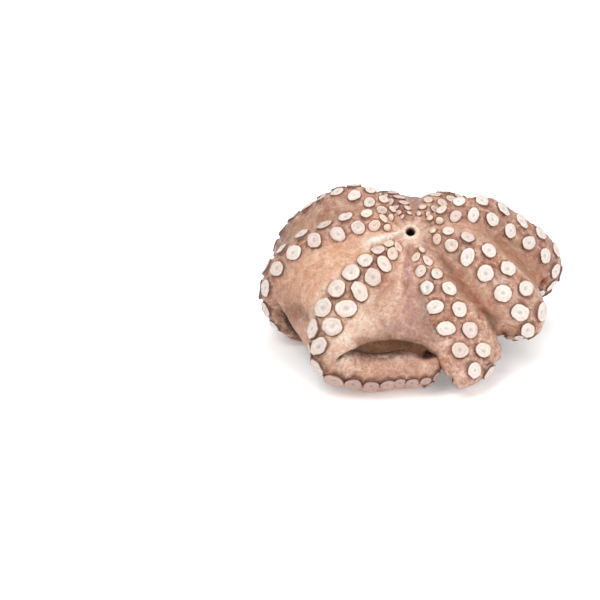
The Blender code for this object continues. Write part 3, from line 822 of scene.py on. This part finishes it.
# adds a node with its settings, its inputs, by name or in their order, and a ramp's stops
def addNode(tree, kind, inputs=(), stops=(), **settings):
    node = tree.nodes.new(kind)
    for key, value in settings.items():
        setattr(node, key, value)
    feed(node, inputs if isinstance(inputs, dict) else enumerate(inputs))
    for i, (place, code) in enumerate(stops):
        spots = node.color_ramp.elements
        spot = spots[i] if i < len(spots) else spots.new(place)
        spot.position = place
        spot.color = linear(code)
    return node


# a material of one shader, with its constants
def newMaterial(name, finish):
    material = bpy.data.materials.new(name)
    material.use_nodes = True
    tree = material.node_tree
    tree.nodes.clear()
    surface = addNode(tree, "ShaderNodeBsdfPrincipled", finish)
    addNode(tree, "ShaderNodeOutputMaterial", {"Surface": surface})
    return material, tree, surface


# how one tone is laid on another
mix = dict(data_type="RGBA", blend_type="MIX")
multiply = dict(data_type="RGBA", blend_type="MULTIPLY")

# the skin's patterns and its shader
skinFinish = dict(
    # noise: what it follows if not plain space, size in millimetres, detail, distortion
    noise=dict(blotch=(None, 19, 4, 0.5), gold=(None, 9, 3, 0.6), cloud=(None, 6, 5, 0.7),
               fleck=(None, 2.8, 2, 0.8), grain=(None, 1.3, 3, 0),
               lines=("radial", 1000, 2, 0.4), creases=("ringed", 1000, 2, 0.3)),
    # cells in millimetres; real skin's net is half as coarse, and wouldn't show
    cells=dict(net=(4.6, "DISTANCE_TO_EDGE"), spots=(1.7, "F1")),
    bend=0.004,  # how far the clouds bend the cells
    # stains laid in turn: pattern, where it starts and is full, strength, the value that
    # limits it, tone, and how it is laid
    stains=(("cloud", 0.47, 0.34, 0.6, "mottle", "F0D6BF", mix),  # light flecks
            ("blotch", 0.46, 0.64, 0.45, None, "DDAA82", multiply),  # golden patches
            ("blotch", 0.46, 0.34, 0.4, None, "DFBDB3", multiply),  # rosier patches
            ("gold", 0.52, 0.66, 0.7, "mottle", "DDA97E", multiply),
            ("cloud", 0.5, 0.66, 0.6, "mottle", "C9A08C", multiply),
            ("fleck", 0.5, 0.66, 0.7, "mottle", "B2937D", multiply),
            ("lines", 0.46, 0.74, 0.36, "streak", "CC9880", multiply),
            ("creases", 0.48, 0.7, 0.4, "wrinkle", "A87C68", multiply),
            ("net", 0.2, 0.0, 0.4, "net", "B98B6A", multiply),
            ("spots", 0.45, 0.12, 0.5, "spotted", "A27156", multiply)),
    # low relief: pattern, height, and the value that limits it
    relief=(("cloud", 1.6, None), ("grain", 1.0, None), ("lines", 0.7, "streak"),
            ("creases", -0.9, "wrinkle")),
    bump={"Strength": 0.8, "Distance": 0.0011},
    rough=(0.3, 0.7, 0.4, 0.62),  # grain from and to, roughness from and to
    shader={"Subsurface Weight": 0.15, "Subsurface Radius": (1.0, 0.5, 0.3),
            "Subsurface Scale": 0.003, "Specular IOR Level": 0.4, "Coat Weight": 0.2,
            "Coat Roughness": 0.18},
)


# raw skin under a film of water: soft tan with brown mottling, faint streaks down the web,
# wrinkles round the arms, and small wet glints
def wetSkin():
    look = skinFinish
    material, tree, surface = newMaterial("moist octopus skin", look["shader"])
    place = addNode(tree, "ShaderNodeTexCoord").outputs["Object"]
    read = {name: addNode(tree, "ShaderNodeAttribute", attribute_name=name).outputs
            for name in ("tone", "net", "streak", "wrinkle", "spotted", "mottle", "radial",
                         "ringed")}
    pattern = {}
    for name, (follows, size, detail, bent) in look["noise"].items():
        where = read[follows]["Vector"] if follows else place
        values = {"Vector": where, "Scale": 1000 / size, "Detail": detail, "Distortion": bent}
        pattern[name] = addNode(tree, "ShaderNodeTexNoise", values).outputs
    moved = addNode(tree, "ShaderNodeVectorMath",
                    {0: pattern["cloud"]["Color"], "Scale": look["bend"]}, operation="SCALE")
    moved = addNode(tree, "ShaderNodeVectorMath", (place, moved))
    for name, (size, feature) in look["cells"].items():
        values = {"Vector": moved, "Scale": 1000 / size}
        pattern[name] = addNode(tree, "ShaderNodeTexVoronoi", values, feature=feature).outputs
    colour = read["tone"]["Color"]
    for name, first, last, strength, limit, tone, laid in look["stains"]:
        much = addNode(tree, "ShaderNodeMapRange", (pattern[name][0], first, last, 0, strength))
        if limit:
            much = addNode(tree, "ShaderNodeMath", (much, read[limit]["Fac"]),
                           operation="MULTIPLY")
        colour = addNode(tree, "ShaderNodeMix", {"Factor_Float": much, "A_Color": colour,
                                                 "B_Color": linear(tone)}, **laid)
    height = 0.0
    for name, high, limit in look["relief"]:
        part = pattern[name][0]
        if limit:
            part = addNode(tree, "ShaderNodeMath", (part, read[limit]["Fac"]),
                           operation="MULTIPLY")
        height = addNode(tree, "ShaderNodeMath", (part, high, height), operation="MULTIPLY_ADD")
    bump = addNode(tree, "ShaderNodeBump", {"Height": height, **look["bump"]})
    rough = addNode(tree, "ShaderNodeMapRange", (pattern["grain"][0], *look["rough"]))
    feed(surface, {"Base Color": colour, "Normal": bump, "Roughness": rough})
    return material


# the suckers' rings, their brown line and their shader
suckerFinish = dict(
    fuzz=2.6, fine=0.9,  # size of the coarse and the fine noise in millimetres
    wander=0.16,  # how far the coarse one bends the rings
    rings=((0.0, "C9C6CC"), (0.16, "DEDADD"), (0.3, "F6F1F0"), (0.46, "FFFDFC"),
           (0.58, "F3E8E3"), (0.7, "FFFFFF"), (0.8, "FCF3EE"), (0.88, "E8CBBD")),  # pit first
    line="82604F",  # the brown line at the foot, over the skin's own tone: partly pigment, partly painted shade
    foot=((0.86, "000000"), (0.895, "F0F0F0"), (0.96, "F8F8F8"), (1.0, "909090")),  # where it is
    stain=(0.48, 0.7, 0.0, 0.5), stainTone="EED6C8",  # noise from and to, strength from and to
    bump={"Strength": 0.3, "Distance": 0.0004},
    rough=(0.3, 0.7, 0.34, 0.5),
    shader={"Subsurface Weight": 0.2, "Subsurface Radius": (1.0, 0.65, 0.5),
            "Subsurface Scale": 0.003, "Coat Weight": 0.25, "Coat Roughness": 0.2},
)


# smooth sucker flesh: a blue-grey pit, cream round it, a pinkish margin and a thin brown line
# at the foot, where it meets the skin, partly pigment and partly painted shade
def suckerFlesh():
    look = suckerFinish
    material, tree, surface = newMaterial("cream sucker flesh", look["shader"])
    place = addNode(tree, "ShaderNodeTexCoord").outputs["Object"]
    skin, flesh, across = [addNode(tree, "ShaderNodeAttribute", attribute_name=name).outputs
                           for name in ("tone", "cupTone", "across")]
    fuzz, fine = [addNode(tree, "ShaderNodeTexNoise", {"Vector": place, "Scale": 1000 / size,
                                                       "Detail": 3.0})
                  for size in (look["fuzz"], look["fine"])]
    wander = addNode(tree, "ShaderNodeMath", (fuzz, 0.5), operation="SUBTRACT")
    wander = addNode(tree, "ShaderNodeMath", (wander, look["wander"], across["Fac"]),
                     operation="MULTIPLY_ADD")
    rings = addNode(tree, "ShaderNodeValToRGB", (wander,), look["rings"])
    foot = addNode(tree, "ShaderNodeValToRGB", (across["Fac"],), look["foot"])
    line = addNode(tree, "ShaderNodeMix", {"Factor_Float": 1.0, "A_Color": skin["Color"],
                                           "B_Color": linear(look["line"])}, **multiply)
    stain = addNode(tree, "ShaderNodeMapRange", (fuzz, *look["stain"]))
    colour = flesh["Color"]
    for much, tone, laid in ((1.0, rings, multiply), (foot, line, mix),
                             (stain, linear(look["stainTone"]), multiply)):
        colour = addNode(tree, "ShaderNodeMix", {"Factor_Float": much, "A_Color": colour,
                                                 "B_Color": tone}, **laid)
    bump = addNode(tree, "ShaderNodeBump", {"Height": fine, **look["bump"]})
    rough = addNode(tree, "ShaderNodeMapRange", (fine, *look["rough"]))
    feed(surface, {"Base Color": colour, "Normal": bump, "Roughness": rough})
    return material


# unevenness of the skin, in millimetres
skinForm = dict(
    round=(17, 14), across=(2.3, 1.6, 14),  # how noise is drawn out down the web, round an arm
    swells=((1.5, 26, 1), (0.9, 11, 2), (0.45, 4.5, 3)),  # height, size and seed of each
    folds=(0.7, 1.6, 4),  # streaks down the web
    ribs=0.7, ribsApart=13, webLength=165,  # across the webs that bend over the back
    ribbed=("leftBack", "left", "right"),
    tips=2.0, tipsApart=14,  # points of skin between the suckers at an arm's edge
    wrinkles=(0.2, 1.2, 6),  # round the laid arm
    ruffle=0.5, ruffles=15,  # on the lips
    bulge=2.2,  # the laid arm swells forward where its own weight presses it down
    floor=0.2,  # nothing is lower
)


# the suckers that show: centre, outward direction, size, length along and arm of each
def allSuckers(allArms):
    found = [arm.suckers() for arm in allArms]
    owners = np.concatenate([np.full(len(one[2]), i) for i, one in enumerate(found)])
    centres, outwards, sizes, lengths = [np.concatenate(part) for part in zip(*found)]
    # those without room above the ground, and small ones on the bare fold, are left out
    clear = centres[:, 2] + outwards[:, 2] * 3.6 > 3.5 + np.maximum(0, -outwards[:, 2]) * sizes
    folded = nearness(centres, *strokes["looseFold"][3:])
    clear &= (sizes >= suckerForm["onFold"]) | (folded < 0.5)
    sizes = sizes * np.array([suckerForm["growth"].get(name, 1) for name in armNames])[owners]
    return [values[clear] for values in (centres, outwards, sizes, lengths, owners)]


# heights of the swells, folds, ribs, tips and wrinkles, and the streaks that they follow
def unevenness(body, shares):
    form, points = skinForm, body.points
    mouth = mouthDistance(points)
    heading = np.arctan2(points[:, 1], points[:, 0])
    count, long = form["round"]
    radial = np.stack([count * np.cos(heading), count * np.sin(heading), mouth / long], 1)
    length = np.maximum(body.read("along"), 0)
    apart, count, long = form["across"]
    ringed = np.stack([length / apart, body.read("oral") * count, points[:, 2] / long], 1)
    calm = smooth(8, 22, mouth)
    uneven = sum(high * waves(points, size, seed) for high, size, seed in form["swells"]) * calm
    high, size, seed = form["folds"]
    uneven += high * waves(radial, size, seed) * shares["streak"] * calm
    ribbed = np.cos(2 * pi * body.read("share") * form["webLength"] / form["ribsApart"])
    beside = np.isin(body.read("web"), [armNames.index(name) for name in form["ribbed"]])
    edge = np.abs(body.read("across") - 0.5)
    uneven += form["ribs"] * ribbed * beside * smooth(0.12, 0.4, edge) * calm
    rim = np.exp(-((body.read("oral") - 0.42) / 0.24) ** 2) * (body.read("arm") >= 0)
    tips = np.clip(np.cos(2 * pi * length / form["tipsApart"]), 0, 1) ** 3
    uneven += form["tips"] * rim * tips * smooth(50, 80, length)
    high, size, seed = form["wrinkles"]
    uneven -= high * waves(ringed, size, seed) * shares["wrinkle"]
    ruffle = form["ruffle"] * np.exp(-((mouth - 6.5) / 2.5) ** 2)
    return uneven, ruffle * np.cos(form["ruffles"] * heading), radial, ringed


# the skin with its tones and patterns, and the suckers' places on it
def makeSkin():
    body, allArms = octopusSkin(**fineness)
    tone, shares = paint(body)
    probe = meshPiece("probe", body.points, body.faces)
    normals = normalsOf(probe.data)
    bpy.data.objects.remove(probe, do_unlink=True)
    centres, outwards, sizes, lengths, owners = allSuckers(allArms)
    raised, near = mounds(body, normals, centres, outwards, sizes)
    # the skin darkens round each sucker's foot, partly its own brown and partly painted shade;
    # umber painted shade round those on the free laid arm
    tone = tone * (1 - near[:, None] * (1 - shown(tones["rimShade"])))
    tone = blend(tone, shown(tones["umber"]), 0.85 * near * shares["free"])
    uneven, ruffle, radial, ringed = unevenness(body, shares)
    bulge = skinForm["bulge"] * shares["free"] * smooth(0.1, 0.8, -normals[:, 1])
    lift = shares["lift"] + bulge
    tree = treeOf(body.points)
    seats = np.array([tree.find(centre)[1] for centre in centres])
    seated = centres + outwards * ((uneven + lift)[seats] + suckerForm["seat"] * sizes)[:, None]
    points = body.points + normals * (uneven + lift + raised + ruffle)[:, None]
    points = pressed(points, normals, seated, outwards, sizes)
    points[:, 2] = np.maximum(points[:, 2], skinForm["floor"])
    skin = meshPiece("octopusSkin", points, body.faces)
    attach(skin.data, "FLOAT_COLOR", tone=linear(tone) * dimmed["skin"])
    attach(skin.data, "FLOAT_VECTOR", radial=radial, ringed=ringed)
    attach(skin.data, "FLOAT", **{name: shares[name] for name in (
        "net", "streak", "wrinkle", "spotted", "mottle")})
    skin.data.materials.append(wetSkin())
    return skin, dict(centres=seated, outwards=outwards, sizes=sizes, owners=owners,
                      lengths=lengths, tones=tone[seats])


# for a sucker one unit across, its sides, and the radius, height and mark of each ring
suckerShapes = dict(
    large=(14, ((0.53, -0.14, 1.0), (0.55, -0.005, 0.95), (0.5, 0.068, 0.84),
                (0.31, 0.06, 0.55), (0.17, 0.035, 0.34), (0, 0.025, 0))),
    small=(10, ((0.53, -0.16, 1.0), (0.52, 0.01, 0.94), (0.43, 0.17, 0.8), (0.24, 0.25, 0.62),
                (0, 0.22, 0.3))))
# how far they are squashed, lean and ripple
suckerLooks = {"Seed": 3, "Squash": 0.16, "Lean": 0.06, "Ripple": 0.24,
               "Ripple Scale": 1000 / 8.0}  # ripples 8 mm long
suckerTones = dict(white="F7F0E8", cream="F4EAE0", rosy="E3D1C7", dusky="C2A196", peach="F3DACA",
                   beige="E9D2C6")


# a turned sucker one unit across, from its skirt under the skin in to the pit; the mark tells
# the finish how far out each ring is
def suckerShape(name, sides, profile):
    turns = np.arange(sides) * 2 * pi / sides
    points, marks = [], []
    for radius, height, mark in profile[:-1]:
        points += [(radius * cos(a), radius * sin(a), height) for a in turns]
        marks += [mark] * sides
    points.append((0, 0, profile[-1][1]))
    marks.append(profile[-1][2])
    faces = []
    for ring in range(len(profile) - 2):
        for i in range(sides):
            a, b = ring * sides + i, ring * sides + (i + 1) % sides
            faces.append([a, b, b + sides, a + sides])
    last = (len(profile) - 2) * sides
    faces += [[last + i, last + (i + 1) % sides, len(points) - 1] for i in range(sides)]
    mesh = bpy.data.meshes.new(name)
    mesh.from_pydata(points, [], faces)
    attach(mesh, "FLOAT", across=marks)
    return linked(name, mesh)


# Geometry Nodes: a shape on each point, turned outward, sized, squashed and rippled a little
def placingTree():
    tree = bpy.data.node_groups.new("suckers on points", "GeometryNodeTree")
    for name, kind in (("Points", "Geometry"), ("Shape", "Object"), ("Seed", "Int"),
                       ("Squash", "Float"), ("Lean", "Float"), ("Ripple", "Float"),
                       ("Ripple Scale", "Float"), ("Finish", "Material")):
        tree.interface.new_socket(name, in_out="INPUT", socket_type=f"NodeSocket{kind}")
    tree.interface.new_socket("Mesh", in_out="OUTPUT", socket_type="NodeSocketGeometry")
    given = tree.nodes.new("NodeGroupInput").outputs
    outward, size = [
        addNode(tree, "GeometryNodeInputNamedAttribute", (name,), data_type=kind)
        for name, kind in (("outward", "FLOAT_VECTOR"), ("size", "FLOAT"))]
    chance = []  # turn, two leans, squash and height of each
    for shift, low, high in ((1, 0, 2 * pi), (2, -1, 1), (3, -1, 1), (4, 0, 1), (5, 0.85, 1.15)):
        seed = addNode(tree, "ShaderNodeMath", (given["Seed"], float(shift)), operation="ADD")
        chance.append(addNode(tree, "FunctionNodeRandomValue",
                              {"Seed": seed, "Min_001": low, "Max_001": high},
                              data_type="FLOAT"))
    faced = addNode(tree, "FunctionNodeAlignRotationToVector", {"Vector": outward}, axis="Z")
    leans = [addNode(tree, "ShaderNodeMath", (value, given["Lean"]), operation="MULTIPLY")
             for value in chance[1:3]]
    spin = addNode(tree, "ShaderNodeCombineXYZ", (*leans, chance[0]))
    turned = addNode(tree, "FunctionNodeEulerToRotation", (spin,))
    facing = addNode(tree, "FunctionNodeRotateRotation", (faced, turned), rotation_space="LOCAL")
    stretch = addNode(tree, "ShaderNodeMath", (chance[3], given["Squash"]), operation="MULTIPLY")
    wide, slim = [addNode(tree, "ShaderNodeMath", (1.0, stretch), operation=way)
                  for way in ("ADD", "SUBTRACT")]
    sizes = addNode(tree, "ShaderNodeCombineXYZ", (wide, slim, chance[4]))
    scaled = addNode(tree, "ShaderNodeVectorMath", {0: sizes, "Scale": size}, operation="SCALE")
    shape = addNode(tree, "GeometryNodeObjectInfo", {"Object": given["Shape"]})
    placed = addNode(tree, "GeometryNodeInstanceOnPoints",
                     {"Points": given["Points"], "Instance": shape.outputs["Geometry"],
                      "Rotation": facing, "Scale": scaled})
    real = addNode(tree, "GeometryNodeRealizeInstances", (placed,))
    position = addNode(tree, "GeometryNodeInputPosition")
    bumps = addNode(tree, "ShaderNodeTexNoise", {"Vector": position, "Detail": 1.0,
                                                 "Scale": given["Ripple Scale"]})
    centred = addNode(tree, "ShaderNodeVectorMath", (bumps.outputs["Color"], (0.5, 0.5, 0.5)),
                      operation="SUBTRACT")
    share = addNode(tree, "ShaderNodeMath", (given["Ripple"], size), operation="MULTIPLY")
    moved = addNode(tree, "ShaderNodeVectorMath", {0: centred, "Scale": share},
                    operation="SCALE")
    rippled = addNode(tree, "GeometryNodeSetPosition", {"Geometry": real, "Offset": moved})
    even = addNode(tree, "GeometryNodeSetShadeSmooth", (rippled,))
    addNode(tree, "NodeGroupOutput", (addNode(
        tree, "GeometryNodeSetMaterial", {"Geometry": even, "Material": given["Finish"]}),))
    return tree


# a plain mesh piece of the tree's shape on every point
def placeShapes(name, tree, points, values, settings):
    piece = meshPiece(name, points, [])
    for kind, numbers in values.items():
        attach(piece.data, kind, **numbers)
    modifier = piece.modifiers.new("place", "NODES")
    modifier.node_group = tree
    for item in tree.interface.items_tree:
        if item.in_out == "INPUT" and item.name in settings:
            modifier[item.identifier] = settings[item.name]
    bpy.context.view_layer.update()
    graph = bpy.context.evaluated_depsgraph_get()
    made = bpy.data.meshes.new_from_object(piece.evaluated_get(graph))
    piece.modifiers.clear()
    piece.data = made
    made.name = name
    return piece


# two pieces, the large suckers and the small ones near the mouth and the tips
def makeSuckers(found):
    tree = placingTree()
    finish = suckerFlesh()
    owners, lengths = found["owners"], found["lengths"]
    laid = owners == armNames.index("laid")
    behind = np.isin(owners, [armNames.index(name) for name in ("rightBack", "back")])
    chance = np.random.default_rng(8).random(len(owners))
    # white at first, then creamier on the laid arm, rosy by chance, dusky along the ground as
    # painted shade, peach near the mouth and beige behind
    cups = np.zeros((len(owners), 3)) + shown(suckerTones["white"])
    for tone, share in (("cream", 1.0 * laid),
                        ("rosy", 0.75 * smooth(0.55, 0.95, chance)),
                        ("dusky", smooth(150, 225, lengths) * laid),
                        ("peach", 0.85 * (1 - smooth(18, 50, lengths))),
                        ("beige", 0.6 * behind)):
        cups = blend(cups, shown(suckerTones[tone]), share)
    pieces = []
    large = found["sizes"] >= suckerForm["large"]
    for name, chosen in (("large", large), ("small", ~large)):
        shape = suckerShape(f"{name}Sucker", *suckerShapes[name])
        colours = dict(tone=linear(found["tones"][chosen]) * dimmed["skin"],
                       cupTone=linear(cups[chosen]) * dimmed["cups"])
        values = {"FLOAT_VECTOR": dict(outward=found["outwards"][chosen]),
                  "FLOAT": dict(size=found["sizes"][chosen] / 1000), "FLOAT_COLOR": colours}
        settings = dict(suckerLooks, Shape=shape, Finish=finish)
        pieces.append(placeShapes(f"{name}Suckers", tree, found["centres"][chosen], values,
                                  settings))
        bpy.data.objects.remove(shape, do_unlink=True)
    return pieces


# the floor's edges in metres, its two whites, the size of their clouds, and its faint glow
floorLooks = dict(left=-4, right=4, front=-4, back=5, whites=((0.3, "F7F7F7"), (0.7, "FBFBFB")),
                  clouds=3.0, shader={"Roughness": 0.85, "Emission Color": (1, 1, 1, 1),
                                      "Emission Strength": 0.22})


# a wide floor of white paper, which glows a little as it does in a bright box
def makeFloor():
    look = floorLooks
    corners = [(look[x], look[y], 0) for x, y in (
        ("left", "front"), ("right", "front"), ("right", "back"), ("left", "back"))]
    mesh = bpy.data.meshes.new("floor")
    mesh.from_pydata(corners, [], [[0, 1, 2, 3]])
    material, tree, surface = newMaterial("matt white paper", look["shader"])
    place = addNode(tree, "ShaderNodeTexCoord").outputs["Object"]
    cloud = addNode(tree, "ShaderNodeTexNoise", {"Vector": place, "Scale": look["clouds"]})
    colour = addNode(tree, "ShaderNodeValToRGB", (cloud,), look["whites"])
    feed(surface, {"Base Color": colour})
    mesh.materials.append(material)
    linked("floor", mesh)


# an object at a place, turned to look along a direction
def aimed(name, data, place, way):
    piece = linked(name, data)
    piece.location = place
    piece.rotation_mode = "QUATERNION"
    piece.rotation_quaternion = way.to_track_quat("-Z", "Y")
    return piece


# each soft light's place in metres, size and power, where they aim, and the white room's strength
studio = dict(lights=dict(key=((-0.6, -0.6, 1.3), 0.8, 10.5), fill=((0.8, -0.9, 0.75), 0.9, 8.5),
                          top=((0.1, 0.4, 1.6), 1.1, 11.9)),
              aim=(0, 0, 0.08), room=0.525)


def makeLights():
    world = bpy.data.worlds.new("studio")
    bpy.context.scene.world = world
    world.use_nodes = True
    feed(world.node_tree.nodes["Background"], {"Color": (1, 1, 1, 1), "Strength": studio["room"]})
    for name, (place, size, power) in studio["lights"].items():
        light = bpy.data.lights.new(name, "AREA")
        light.size = size
        light.energy = power
        aimed(name, light, place, Vector(studio["aim"]) - Vector(place))


# angle above the ground, distance from what it looks at, and the lens
view = dict(rise=radians(28), away=1.7, target=(-0.1154, -0.0140, 0.0496), lens=102, sensor=36)


def makeCamera():
    lens = bpy.data.cameras.new("camera")
    lens.lens = view["lens"]
    lens.sensor_width = view["sensor"]
    back = Vector((0, -cos(view["rise"]), sin(view["rise"])))
    place = Vector(view["target"]) + back * view["away"]
    bpy.context.scene.camera = aimed("camera", lens, place, -back)


print("camera")
makeCamera()
print("skin")
skin, found = makeSkin()
print("suckers")
pieces = [skin] + makeSuckers(found)
print("floor and lights")
makeFloor()
makeLights()
bpy.context.scene.view_settings.view_transform = "Standard"
for piece in pieces:
    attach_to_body(piece, "root")
    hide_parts("octopus")
    print(piece.name, len(piece.data.polygons), "faces")
